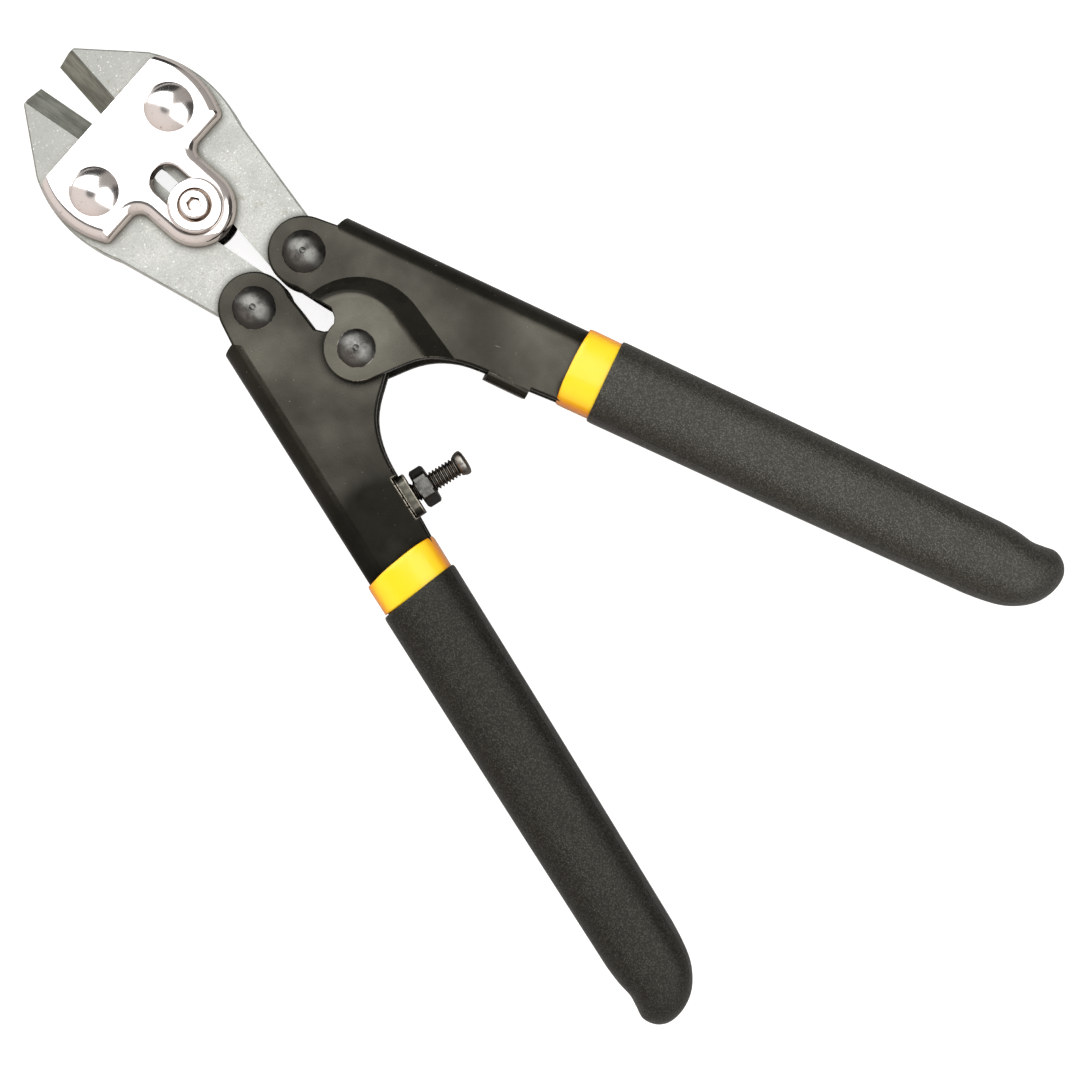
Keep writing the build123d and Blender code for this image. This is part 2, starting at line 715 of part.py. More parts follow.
with BuildPart() as adjusting_lock_nut:
    with BuildSketch(screw_axis.offset(-nut_t[0])):
        RegularPolygon(nut_flats / 2, 6, major_radius=False)
    extrude(amount=nut_t[0] - nut_t[1])
    # both faces are turned down to a disc, which leaves the curved corner chamfers
    with BuildSketch(screw_axis.offset(-nut_t[0])):
        Circle(nut_flats / 2 + 0.62)
    extrude(amount=nut_t[0] - nut_t[1], mode=Mode.INTERSECT)
    with BuildSketch(screw_axis.offset(-nut_t[0])):
        Circle(screw_hole_radius)
    extrude(amount=nut_t[0] - nut_t[1], mode=Mode.SUBTRACT)
finish(adjusting_lock_nut.part, "adjusting_lock_nut")
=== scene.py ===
import json
from math import atan2, cos, exp, pi, radians, sin, sqrt, tau

import bmesh
import bpy
from mathutils import Matrix, Vector, noise


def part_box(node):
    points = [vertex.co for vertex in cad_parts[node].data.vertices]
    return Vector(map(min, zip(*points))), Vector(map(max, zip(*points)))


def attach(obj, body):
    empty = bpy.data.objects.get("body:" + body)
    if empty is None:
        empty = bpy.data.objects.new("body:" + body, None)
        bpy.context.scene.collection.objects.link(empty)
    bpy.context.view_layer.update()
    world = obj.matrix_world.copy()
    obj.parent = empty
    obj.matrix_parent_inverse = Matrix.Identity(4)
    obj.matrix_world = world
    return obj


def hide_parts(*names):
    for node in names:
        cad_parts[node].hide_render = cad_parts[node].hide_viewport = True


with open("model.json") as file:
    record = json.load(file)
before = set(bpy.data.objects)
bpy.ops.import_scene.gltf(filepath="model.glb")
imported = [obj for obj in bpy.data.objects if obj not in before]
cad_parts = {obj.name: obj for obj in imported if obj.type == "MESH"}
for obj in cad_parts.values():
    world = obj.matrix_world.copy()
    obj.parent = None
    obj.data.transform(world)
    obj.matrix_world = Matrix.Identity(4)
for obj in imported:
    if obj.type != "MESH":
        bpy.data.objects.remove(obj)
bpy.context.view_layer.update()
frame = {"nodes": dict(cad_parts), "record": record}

MM = 0.001

# ---- places, worked out from the frame ---------------------------------------------------
JOINTS = {joint["name"]: joint for joint in frame["record"]["behaviour"]["joints"]}
MID_Z = JOINTS["left_jaw_pivot"]["pos_m"][2]
JAW_LINE_Y = JOINTS["left_jaw_pivot"]["pos_m"][1]
screw_direction = Vector(JOINTS["screw_travel"]["axis"])      # square to the left handle
HANDLE_ANGLE = atan2(-screw_direction.y, screw_direction.x)

# ---- sizes in millimetres -----------------------------------------------------------------
BAND_HALF = (7.6, 6.3)             # half width and half height of the yellow sleeve
GRIP_START = 6.9                   # how far behind the band's front end the black grip starts
GRIP_HALF_HEIGHT = 6.98
GRIP_HALF_WIDTH = 8.05             # at its front end
GRIP_END = 99.0
BULB_START = 88.0                  # where the grip starts to close
# lip of the grip's front end: how far behind the start, and the section's scale
GRIP_LIP = [(0.30, 0.940), (0.02, 0.952), (0.06, 0.976), (0.32, 0.993), (0.75, 0.999)]
# the grip's outer and inner outlines: s along the handle and t outwards
GRIP_OUTER = [(GRIP_START + 1.4, 8.05), (46, 7.9), (84, 7.62)]
GRIP_INNER = [(GRIP_START + 1.4, -8.05), (46, -7.65), (84, -7.08)]
BULB_OUTER = [
    (84, 7.62),
    (87.5, 7.3),
    (90.6, 6.75),
    (93.2, 6.92),
    (95.6, 7.1),
    (97.6, 6.0),
    (98.7, 4.4),
    (98.9, 3.1),
]
BULB_INNER = [
    (84, -7.08),
    (88.0, -6.75),
    (91.4, -6.1),
    (94.3, -4.75),
    (96.5, -3.0),
    (98.0, -0.8),
    (98.75, 1.3),
    (98.9, 3.0),
]
MOULDING_LINES = (4.3, 2.3)        # heights of the two fine lines on the inner side
BAND_OFFSET = 0.25                 # the band's lip stands this far behind the sleeve's end
BAND_LIP = [(1.1, 0.935), (0.25, 0.94), (0.03, 0.955), (0.06, 0.975), (0.28, 0.990), (0.7, 0.997)]
SCREW_S = -8.87                    # the screw's place along the left handle
SCREW_TAIL, SCREW_HEAD, SCREW_END = 3.5, 18.2, 20.4
NUT_START, NUT_END = 9.8, 12.7
NUT_HALF_FLATS = 3.5
NUT_BORE = 1.98
NUT_STEPS = (0.0, 0.12, 0.35, 0.7, 1.45, 2.2, 2.55, 2.78, 2.9)
THREAD_PITCH = 0.7
THREAD_CREST, THREAD_ROOT = 1.94, 1.52
# the screw's head: distance from its seat, and radius
HEAD_PROFILE = [
    (0.0, 1.95),
    (0.1, 2.10),
    (0.5, 2.28),
    (1.0, 2.42),
    (1.5, 2.44),
    (1.8, 2.30),
    (2.02, 1.75),
    (2.12, 0.85),
]
DRIVER_SLOT_HALF = 0.45
WALL_TOP = 3.85                    # height of the handles' flat faces over the mid-plane
LUG_TOP = 5.6                      # and of the raised centre lug
TAB_TOP = 3.3                      # and of the screw tab's free end

# ---- camera ----------------------------------------------------------------------------------
CAMERA_HEIGHT = 0.310
CAMERA_X, CAMERA_BEHIND = -0.0040, 0.1031      # the second is measured back from the jaw rivets
CAMERA_LENS, CAMERA_SENSOR = 55.8, 36


# ---- the studio ------------------------------------------------------------------------------
PICTURE_TURN = -48.5               # degrees that the picture's right is turned from the row's x
ROOM = ((0.36, 0.33, 0.31), (0.78, 0.70, 0.66))
# sides of each soft panel on a plane at unit height: a, b, c and softness of a*across + b*up > c
PANELS = [
    ([(0.4, 1.0, -0.016, 0.04), (-1.0, 0.0, -0.12, 0.03), (-0.6, -1.0, -1.4, 0.10)], 2.6),
    (
        [
            (1.0, -0.222, 0.073, 0.03),
            (0.923, 1.0, -0.438, 0.06),
            (0.375, -1.0, -0.165, 0.03),
            (-1.0, -0.262, -1.497, 0.08),
            (-0.667, -1.0, -0.957, 0.06),
        ],
        2.3,
    ),
]
# azimuth, tilt, radius, softness and shade of the room's dark patches
DARK_PATCHES = [(105, 84, 30, 5, 0.95), (8, 70, 20, 5, 0.85), (178, 16, 15, 5, 0.8)]


def handle_frame(side):
    """Origin at the middle of a grip sleeve's front end, with the directions along and outwards."""
    low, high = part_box("right_grip_sleeve")
    half = BAND_HALF[0] * MM
    origin = Vector((low[0] + half * cos(HANDLE_ANGLE), high[1] - half * sin(HANDLE_ANGLE), MID_Z))
    origin.x *= side
    along = Vector((side * sin(HANDLE_ANGLE), -cos(HANDLE_ANGLE), 0))
    outwards = Vector((side * cos(HANDLE_ANGLE), sin(HANDLE_ANGLE), 0))
    return origin, along, outwards


def on_handle(side, s, t, up):
    """A point of a handle, in millimetres along it, outwards and up from the tool's mid-plane."""
    origin, along, outwards = handle_frame(side)
    return origin + along * s * MM + outwards * t * MM + Vector((0, 0, up * MM))


# ---- mesh helpers ---------------------------------------------------------------------------
def smooth(value):
    value = min(1.0, max(0.0, value))
    return value * value * (3 - 2 * value)


def curve_through(points, count):
    """Evenly spaced samples of a smooth curve through a few points."""
    samples = []
    last = len(points) - 1
    for i in range(count):
        u = i / (count - 1) * last
        k = min(int(u), last - 1)
        f = u - k
        p0, p1 = points[max(k - 1, 0)], points[k]
        p2, p3 = points[k + 1], points[min(k + 2, last)]
        sample = []
        for a, b, c, d in zip(p0, p1, p2, p3):
            bend = (2 * a - 5 * b + 4 * c - d) * f**2 + (3 * b - a - 3 * c + d) * f**3
            sample.append(0.5 * (2 * b + (c - a) * f + bend))
        samples.append(sample)
    return samples


def squircle(angle, half_width, half_height, power):
    """A point of a rounded-rectangle section."""
    c, s = cos(angle), sin(angle)
    x = half_width * (abs(c) ** (2 / power)) * (1 if c >= 0 else -1)
    z = half_height * (abs(s) ** (2 / power)) * (1 if s >= 0 else -1)
    return x, z


def skin(name, rings, material, sharp_angle=None):
    """A closed mesh over rings of the same length, with both ends capped."""
    mesh = bpy.data.meshes.new(name)
    bm = bmesh.new()
    rows = [[bm.verts.new(point) for point in ring] for ring in rings]
    for row, following in zip(rows, rows[1:]):
        for i in range(len(row)):
            j = (i + 1) % len(row)
            bm.faces.new((row[i], row[j], following[j], following[i]))
    for row in (rows[0], rows[-1]):
        middle = bm.verts.new(sum((v.co for v in row), Vector()) / len(row))
        for i in range(len(row)):
            bm.faces.new((row[i], row[(i + 1) % len(row)], middle))
    bmesh.ops.recalc_face_normals(bm, faces=bm.faces)
    for face in bm.faces:
        face.smooth = True
    bm.to_mesh(mesh)
    bm.free()
    if sharp_angle is not None:
        mesh.set_sharp_from_angle(angle=sharp_angle)
    mesh.materials.append(material)
    piece = bpy.data.objects.new(name, mesh)
    bpy.context.scene.collection.objects.link(piece)
    return piece


def apply_modifiers(piece):
    depsgraph = bpy.context.evaluated_depsgraph_get()
    mesh = bpy.data.meshes.new_from_object(piece.evaluated_get(depsgraph))
    piece.modifiers.clear()
    piece.data = mesh


# ---- shader helpers -------------------------------------------------------------------------
class Shader:
    """One material, or the world, and the nodes that are added to it."""

    def __init__(self, name, owner=None):
        self.material = owner or bpy.data.materials.new(name)
        self.material.use_nodes = True
        self.tree = self.material.node_tree
        self.bsdf = self.tree.nodes.get("Principled BSDF")
        self.place = self.tree.nodes.new("ShaderNodeTexCoord").outputs["Object"]
        self.normal = self.tree.nodes.new("ShaderNodeNewGeometry").outputs["Normal"]

    def put(self, socket, value):
        if isinstance(value, bpy.types.NodeSocket):
            self.tree.links.new(value, socket)
        elif isinstance(value, tuple) and len(value) == 3 and len(socket.default_value) == 4:
            socket.default_value = (*value, 1)
        else:
            socket.default_value = value

    def set(self, **sockets):
        for name, value in sockets.items():
            self.put(self.bsdf.inputs[name.replace("_", " ")], value)

    def node(self, kind, output=0, **sockets):
        node = self.tree.nodes.new(kind)
        for name, value in sockets.items():
            self.put(node.inputs[name], value)
        return node.outputs[output]

    def stretch(self, scale, turn=0.0):
        """Object coordinates, turned about z and then scaled along each axis."""
        node = self.tree.nodes.new("ShaderNodeMapping")
        node.vector_type = "TEXTURE"
        self.put(node.inputs["Vector"], self.place)
        node.inputs["Rotation"].default_value = (0, 0, turn)
        node.inputs["Scale"].default_value = scale
        return node.outputs[0]

    def grain(self, size, detail=2.0, roughness=0.5, vector=None):
        """Noise with features of a size in millimetres."""
        return self.node(
            "ShaderNodeTexNoise",
            Vector=vector or self.place,
            Scale=1 / (size * MM),
            Detail=detail,
            Roughness=roughness,
        )

    def cells(self, size):
        """Distance from the middle of round cells of a size in millimetres."""
        return self.node("ShaderNodeTexVoronoi", Vector=self.place, Scale=1 / (size * MM))

    def span(self, value, low, high, to_low=0.0, to_high=1.0):
        """Value mapped from one range to another, smoothly and clamped."""
        node = self.tree.nodes.new("ShaderNodeMapRange")
        node.interpolation_type = "SMOOTHSTEP"
        self.put(node.inputs["Value"], value)
        node.inputs["From Min"].default_value = low
        node.inputs["From Max"].default_value = high
        node.inputs["To Min"].default_value = to_low
        node.inputs["To Max"].default_value = to_high
        return node.outputs["Result"]

    def maths(self, operation, a, b=0.0):
        node = self.tree.nodes.new("ShaderNodeMath")
        node.operation = operation
        self.put(node.inputs[0], a)
        self.put(node.inputs[1], b)
        return node.outputs[0]

    def blend(self, factor, a, b):
        """Colour a where the factor is 0 and b where it is 1."""
        node = self.tree.nodes.new("ShaderNodeMix")
        node.data_type = "RGBA"
        self.put(node.inputs["Factor"], factor)
        self.put(node.inputs[6], a)
        self.put(node.inputs[7], b)
        return node.outputs[2]

    def dot(self, vector, fixed):
        """Component of a vector along a fixed direction."""
        node = self.tree.nodes.new("ShaderNodeVectorMath")
        node.operation = "DOT_PRODUCT"
        self.put(node.inputs[0], vector)
        node.inputs[1].default_value = fixed
        return node.outputs["Value"]

    def near(self, place, radius):
        """1 close to a point of the row frame, falling to 0 at a radius in millimetres."""
        node = self.tree.nodes.new("ShaderNodeVectorMath")
        node.operation = "DISTANCE"
        self.put(node.inputs[0], self.place)
        node.inputs[1].default_value = place
        inner = 0.4
        return self.span(node.outputs["Value"], radius * MM, radius * MM * inner)

    def split(self, vector, axis):
        return self.node("ShaderNodeSeparateXYZ", "XYZ".index(axis), Vector=vector)

    def bump(self, height, depth, strength=1.0, under=None):
        """Bump whose full height is a depth in millimetres."""
        sockets = {"Height": height, "Distance": depth * MM, "Strength": strength}
        if under is not None:
            sockets["Normal"] = under
        return self.node("ShaderNodeBump", **sockets)

    def crevice(self, reach):
        """1 deep in corners between surfaces and 0 in the open."""
        node = self.tree.nodes.new("ShaderNodeAmbientOcclusion")
        node.samples = 6
        node.inputs["Distance"].default_value = reach * MM
        return self.span(node.outputs["AO"], 0.97, 0.50)

    def edge_wear(self, radius):
        """1 near sharp edges and 0 on flats: how far the rounded normal leans from the true one."""
        node = self.tree.nodes.new("ShaderNodeBevel")
        node.samples = 6
        node.inputs["Radius"].default_value = radius * MM
        dot = self.tree.nodes.new("ShaderNodeVectorMath")
        dot.operation = "DOT_PRODUCT"
        self.put(dot.inputs[0], node.outputs[0])
        self.put(dot.inputs[1], self.normal)
        return self.span(dot.outputs["Value"], 0.985, 0.80)

    def lean(self):
        """1 on level faces and 0 on upright ones."""
        return self.maths("ABSOLUTE", self.split(self.normal, "Z"))


def polished_nickel(name, haziness, painted_shade_depth):
    """Bright plate: near-mirror, with fine wipe marks, small brown stains towards the edges, a
    pinkish-brown painted reflection on the sloping faces and painted shade in the corners.
    """
    m = Shader(name)
    haze = m.grain(7.0, 3.0)
    wipe = m.grain(0.35, 3.0, vector=m.stretch((1.0, 14.0, 1.0), 0.6))
    lean = m.lean()
    side = m.span(lean, 0.97, 0.35)
    spots = m.span(m.grain(0.9, 4.0, 0.65), 0.60, 0.72)
    stain = m.maths("MULTIPLY", spots, m.span(lean, 0.995, 0.80, 0.15, 1.0))
    # painted reflection: sloping faces are tinted pinkish brown, as if mirroring the warm room
    metal = m.blend(side, (0.93, 0.91, 0.90), (0.70, 0.61, 0.57))
    # painted shade: brown-dark in corners, grooves and round the rims, standing in for contact shadows
    metal = m.blend(m.maths("MULTIPLY", m.crevice(0.9), painted_shade_depth), metal, (0.12, 0.075, 0.05))
    polish = m.span(haze, 0.35, 0.7, haziness, haziness + 0.07)
    m.set(
        Base_Color=m.blend(m.maths("MULTIPLY", stain, 0.55), metal, (0.22, 0.15, 0.10)),
        Metallic=1.0,
        Roughness=m.maths("ADD", polish, m.maths("MULTIPLY", stain, 0.25)),
        Normal=m.bump(wipe, 0.004, 0.5, m.bump(haze, 0.12, 0.5)),
    )
    return m.material


def jaw_steel(name, turn):
    """Blasted matt steel, dirtier towards the tips; the bevels are ground along the cutting edge."""
    m = Shader(name)
    lean = m.lean()
    bevel = m.maths("MULTIPLY", m.span(lean, 0.80, 0.86), m.span(lean, 0.97, 0.93))
    speckle = m.grain(0.28, 4.0, 0.7)
    cloud = m.grain(6.0, 4.0, 0.6)
    bright = m.span(m.grain(0.42, 2.0), 0.64, 0.73)
    dark = m.span(m.grain(0.5, 3.0, 0.6), 0.38, 0.29)
    lines = m.grain(0.22, 3.0, 0.7, vector=m.stretch((1.0, 30.0, 1.0), turn))
    blotch = m.grain(2.2, 3.0, 0.6, vector=m.stretch((1.0, 3.0, 1.0), turn))
    forward = m.span(m.split(m.place, "Y"), JAW_LINE_Y + 0.004, JAW_LINE_Y + 0.016)
    blasted = m.blend(m.span(cloud, 0.35, 0.65), (0.50, 0.515, 0.49), (0.62, 0.635, 0.60))
    blasted = m.blend(m.maths("MULTIPLY", forward, 0.8), blasted, (0.36, 0.37, 0.345))
    blasted = m.blend(m.span(speckle, 0.36, 0.66, 0.0, 0.62), blasted, (0.33, 0.345, 0.32))
    blasted = m.blend(m.maths("MULTIPLY", bright, 0.75), blasted, (0.92, 0.93, 0.90))
    blasted = m.blend(m.maths("MULTIPLY", dark, 0.5), blasted, (0.16, 0.155, 0.13))
    stain_area = m.span(m.grain(7.0), 0.42, 0.58)
    stain = m.maths("MULTIPLY", m.span(m.grain(1.9, 5.0, 0.75), 0.57, 0.68), stain_area)
    blasted = m.blend(m.maths("MULTIPLY", stain, 0.5), blasted, (0.30, 0.26, 0.19))
    ground = m.blend(m.span(blotch, 0.32, 0.68), (0.165, 0.172, 0.145), (0.30, 0.31, 0.27))
    ground = m.blend(m.span(lines, 0.42, 0.62, 0.0, 0.35), ground, (0.10, 0.105, 0.085))
    wear = m.edge_wear(0.22)
    # painted shade: blasted steel darkened in corners and beside the plates' edges, standing in for
    # contact shadows
    blasted = m.blend(m.maths("MULTIPLY", m.crevice(1.6), 0.75), blasted, (0.10, 0.095, 0.07))
    colour = m.blend(bevel, blasted, ground)
    m.set(
        Base_Color=m.blend(m.maths("MULTIPLY", wear, 0.5), colour, (0.70, 0.70, 0.66)),
        Metallic=m.span(bevel, 0.0, 1.0, 0.35, 0.85),
        Roughness=m.span(bevel, 0.0, 1.0, 0.55, 0.34),
        Normal=m.bump(m.blend(bevel, speckle, lines), 0.045, 0.7, m.bump(cloud, 0.12, 0.4)),
    )
    return m.material


def black_paint(name, worn_and_highlight_spots, scuffs, painted_sheen_spots):
    """Satin black paint on pressed steel: faint dents, dust, scuffs, bare metal at worn places and
    painted edge highlights, with painted sheen and painted shade in how much it shines.
    """
    m = Shader(name)
    mottle = m.grain(3.2, 4.0, 0.6)
    dents = m.grain(9.0, 1.0)
    peel = m.grain(0.5, 2.0)
    dust = m.span(m.grain(0.42, 1.0, 0.5), 0.775, 0.81)
    # bare metal colour on sharp edges: partly real wear, partly painted edge highlights for light caught
    # on the rounded edges
    wear = m.maths("MULTIPLY", m.edge_wear(0.30), m.span(m.grain(1.6, 5.0, 0.7), 0.50, 0.66, 0.03, 0.5))
    # each listed spot bares metal on its edges: real wear, and at the right handle's second spot a
    # painted highlight
    for place, radius in worn_and_highlight_spots:
        rub_and_highlight = m.maths("MULTIPLY", m.near(place, radius), m.span(m.grain(0.7, 5.0, 0.75), 0.38, 0.50))
        wear = m.maths("MAXIMUM", wear, m.maths("MULTIPLY", rub_and_highlight, m.edge_wear(0.55)))
    scuff = 0.0
    for place, radius, turn in scuffs:
        streak = m.span(m.grain(0.22, 2.0, 0.5, m.stretch((1.0, 12.0, 1.0), turn)), 0.64, 0.72)
        scuff = m.maths("MAXIMUM", scuff, m.maths("MULTIPLY", m.near(place, radius), streak))
    paint = m.blend(mottle, (0.0055, 0.0052, 0.0040), (0.0135, 0.0128, 0.0100))
    paint = m.blend(m.maths("MULTIPLY", dust, 0.45), paint, (0.36, 0.34, 0.28))
    paint = m.blend(m.maths("MULTIPLY", scuff, 0.45), paint, (0.42, 0.36, 0.27))
    # how much the paint shines: uneven at random where it went on thin, dulled on the bends and in the
    # corners as painted shade, and raised or lowered at listed spots as painted sheen
    lean = m.lean()
    gloss_and_painted_sheen = m.span(m.grain(14.0, 3.0, 0.55), 0.30, 0.70, 0.36, 0.72)
    for place, radius, painted_sheen_step in painted_sheen_spots:
        gloss_and_painted_sheen = m.maths("ADD", gloss_and_painted_sheen, m.maths("MULTIPLY", m.near(place, radius), painted_sheen_step))
    # painted highlight: where the painted sheen is strongest the paint's colour turns lighter grey
    paint = m.blend(m.span(gloss_and_painted_sheen, 1.6, 3.2), paint, (0.060, 0.058, 0.048))
    gloss_and_painted_sheen = m.maths("MULTIPLY", m.maths("MAXIMUM", gloss_and_painted_sheen, 0.10), m.span(lean, 0.94, 0.995, 0.28, 1.0))
    gloss_and_painted_sheen = m.maths("MULTIPLY", gloss_and_painted_sheen, m.span(m.crevice(2.2), 0.0, 1.0, 1.0, 0.12))
    m.set(
        Base_Color=m.blend(wear, paint, (0.62, 0.56, 0.46)),
        Metallic=m.maths("MULTIPLY", wear, 0.7),
        Roughness=m.span(mottle, 0.3, 0.7, 0.23, 0.31),
        Specular_IOR_Level=gloss_and_painted_sheen,
        Specular_Tint=(1.0, 0.95, 0.78),
        Normal=m.bump(peel, 0.008, 0.8, m.bump(dents, 0.42, 0.6)),
    )
    return m.material


def blackened_steel(name, light, brown=0.0, metallic=1.0):
    """Oxide-black fasteners: smooth gunmetal with soft mottling, a painted highlight that colours level
    faces lighter than sloping rims, and painted shade in the corners.
    """
    m = Shader(name)
    mottle = m.grain(1.5, 4.0, 0.6)
    fine = m.grain(0.30, 3.0)
    dents = m.grain(1.9, 1.0)
    wear = m.maths("MULTIPLY", m.edge_wear(0.22), m.span(m.grain(0.8, 4.0), 0.42, 0.58))
    lean = m.lean()
    dark = (light * 0.42, light * 0.41, light * 0.38)
    bright = (light * 1.5, light * 1.5, light * 1.4)
    # painted highlight: level faces such as the dome tops are coloured lighter, sloping rims darker,
    # patchy with the mottling
    painted_top_highlight = m.maths("MULTIPLY", m.span(lean, 0.80, 1.0), m.span(mottle, 0.36, 0.60, 0.35, 1.0))
    colour = m.blend(painted_top_highlight, dark, bright)
    # painted shade: darker in corners and round the rims, standing in for contact shadows
    colour = m.blend(m.crevice(1.2), colour, (light * 0.12, light * 0.11, light * 0.10))
    dull = (light * 0.4, light * 0.38, light * 0.35)
    colour = m.blend(m.span(fine, 0.45, 0.75, 0.0, 0.35), colour, dull)
    rust = m.span(m.grain(0.5, 4.0), 0.44, 0.62, 0.0, brown)
    rusty = m.blend(rust, colour, (0.19, 0.135, 0.09))
    m.set(
        Base_Color=m.blend(m.maths("MULTIPLY", wear, 0.75), rusty, (0.50, 0.46, 0.39)),
        Metallic=metallic,
        Roughness=m.span(mottle, 0.3, 0.7, 0.27, 0.38),
        Normal=m.bump(fine, 0.006, 0.5, m.bump(dents, 0.16, 0.7)),
    )
    return m.material


def yellow_vinyl():
    """Glossy dipped vinyl, deeper orange on the sloping sides as painted shade, with a slightly uneven
    skin.
    """
    m = Shader("yellow_vinyl")
    flow = m.grain(7.0, 2.0)
    lean = m.lean()
    # painted shade: sloping sides are coloured deeper orange, level faces lighter yellow
    colour = m.blend(m.span(lean, 0.30, 0.99), (0.93, 0.30, 0.002), (1.0, 0.70, 0.020))
    specks = m.span(m.grain(0.5, 2.0), 0.76, 0.80)
    m.set(
        Base_Color=m.blend(m.maths("MULTIPLY", specks, 0.25), colour, (0.45, 0.22, 0.02)),
        Roughness=m.span(flow, 0.3, 0.7, 0.15, 0.24),
        Subsurface_Weight=0.12,
        Subsurface_Scale=0.0012,
        Subsurface_Radius=(1.0, 0.5, 0.1),
        Normal=m.bump(flow, 0.12, 0.5, m.bump(m.grain(0.6, 2.0), 0.006, 0.5)),
    )
    return m.material


def textured_rubber(name, painted_light_level):
    """Black vinyl foam with a fine pebbled skin; the grain tops get a painted highlight, and a painted
    light level makes one copy darker and duller than another.
    """
    m = Shader(name)
    pebbles = m.cells(0.34)
    fine = m.grain(0.20, 2.0)
    patches = m.grain(5.0, 3.0)
    round_tops = m.maths("MULTIPLY", m.maths("SUBTRACT", 1.0, pebbles), 0.6)
    height = m.maths("ADD", round_tops, m.maths("MULTIPLY", fine, 0.8))
    # painted highlight: grain tops are coloured lighter than the hollows between them
    tips = m.span(height, 0.55, 1.20)
    # colour and shine scale with the painted light level, which paints a lit and a shaded copy
    between = (0.004 * painted_light_level, 0.004 * painted_light_level, 0.003 * painted_light_level)
    colour = m.blend(tips, between, (0.036 * painted_light_level, 0.037 * painted_light_level, 0.030 * painted_light_level))
    dust = m.span(m.grain(0.34, 2.0), 0.68, 0.80)
    m.set(
        Base_Color=m.blend(m.maths("MULTIPLY", dust, 0.4), colour, (0.22, 0.22, 0.18)),
        Roughness=m.span(patches, 0.35, 0.65, 0.36, 0.44),
        Specular_IOR_Level=m.span(tips, 0.0, 1.0, 0.45 * painted_light_level, painted_light_level),
        Specular_Tint=(1.0, 0.98, 0.86),
        Normal=m.bump(height, 0.10, 1.0, m.bump(patches, 0.08, 0.3)),
    )
    return m.material


# ---- grips and bands ----------------------------------------------------------------------------
def grip_piece(side, word, material, skew):
    """Black grip: straight sides, a dip on the outer side near the end, and a round bulb."""
    origin, along, outwards = handle_frame(side)
    section_points = 176
    straight_rings, bulb_rings = 70, 60
    outer = curve_through(GRIP_OUTER, straight_rings)[:-1] + curve_through(BULB_OUTER, bulb_rings)
    inner = curve_through(GRIP_INNER, straight_rings)[:-1] + curve_through(BULB_INNER, bulb_rings)
    rings = []
    for advance, scale in GRIP_LIP:
        start, half = GRIP_START + advance, GRIP_HALF_WIDTH * scale
        rings.append(((start, half), (start, -half), scale))
    for out_point, in_point in zip(outer, inner):
        rings.append((out_point, in_point, 1.0))
    placed = []
    for (s_out, t_out), (s_in, t_in), scale in rings:
        s_mean = (s_out + s_in) / 2
        half_width = sqrt((t_out - t_in) ** 2 + (s_out - s_in) ** 2) / 2
        closing = max(0.0, (s_mean - BULB_START) / (GRIP_END - BULB_START))
        half_height = GRIP_HALF_HEIGHT * scale * sqrt(max(0.0, 1 - min(1.0, closing) ** 2.4))
        half_height = min(half_height, max(half_width * 1.25, 0.02))
        power = 2.75 - 0.6 * smooth(closing)
        ring = []
        for k in range(section_points):
            angle = tau * k / section_points
            across, up = squircle(angle, half_width, half_height, power)
            # two fine moulding lines low on the inner side
            line = 0.0
            if t_in < -5:
                for place_up in MOULDING_LINES:
                    reach = (up - place_up) / 0.16
                    if across < 0:
                        line += 0.07 * exp(-reach * reach)
            f = (across - line) / (2 * half_width) + 0.5 if half_width > 0 else 0.5
            s = s_in + (s_out - s_in) * f
            t = t_in + (t_out - t_in) * f
            lean = skew * t * (1 - smooth((s - GRIP_START) / 25))
            flat_place = origin + along * (s + lean) * MM + outwards * t * MM
            ring.append(flat_place + Vector((0, 0, up * MM)))
        placed.append(ring)
    piece = skin(f"{word}_rubber_grip", placed, material)
    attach(piece, f"{word}_handle")
    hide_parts(f"{word}_grip")
    return piece


def band_piece(side, word, material, skew):
    """Yellow sleeve: the part in front of the black grip, with a rolled lip."""
    origin, along, outwards = handle_frame(side)
    half_width, half_height = BAND_HALF
    section_points = 128
    profile = BAND_LIP + [(1.2 + 0.45 * k, 1.0 - 0.0006 * k) for k in range(14)]
    rings = []
    for s, scale in profile:
        ring = []
        for k in range(section_points):
            angle = tau * k / section_points
            across, up = squircle(angle, half_width * scale, half_height * scale, 3.0)
            wave = 0.16 * sin(2 * angle + 0.7) + 0.10 * sin(3 * angle)
            seam = 0.05 * exp(-((up / 0.25) ** 2)) if across > 0 else 0.0
            advance = s + (skew * across + wave) * smooth((8.0 - s) / 4) + BAND_OFFSET
            flat_place = origin + along * advance * MM + outwards * (across + seam) * MM
            ring.append(flat_place + Vector((0, 0, up * MM)))
        rings.append(ring)
    piece = skin(f"{word}_yellow_sleeve", rings, material)
    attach(piece, f"{word}_handle")
    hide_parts(f"{word}_grip_sleeve")
    return piece


# ---- adjusting screw and nut --------------------------------------------------------------------
def on_screw(distance, radius, angle):
    """A point about the screw's axis; the distance grows from the handle towards the head."""
    origin, along, outwards = handle_frame(-1)
    start = origin + along * SCREW_S * MM
    radial = along * cos(angle) + Vector((0, 0, 1)) * sin(angle)
    return start - outwards * distance * MM + radial * radius * MM


def thread_radius(turns):
    """Radius of an M4 thread at a phase, with a flat crest and a flat root."""
    phase = turns % 1.0
    if phase < 0.36:
        share = phase / 0.36
    elif phase < 0.50:
        share = 1.0
    elif phase < 0.86:
        share = 1.0 - (phase - 0.50) / 0.36
    else:
        share = 0.0
    return THREAD_ROOT + (THREAD_CREST - THREAD_ROOT) * share


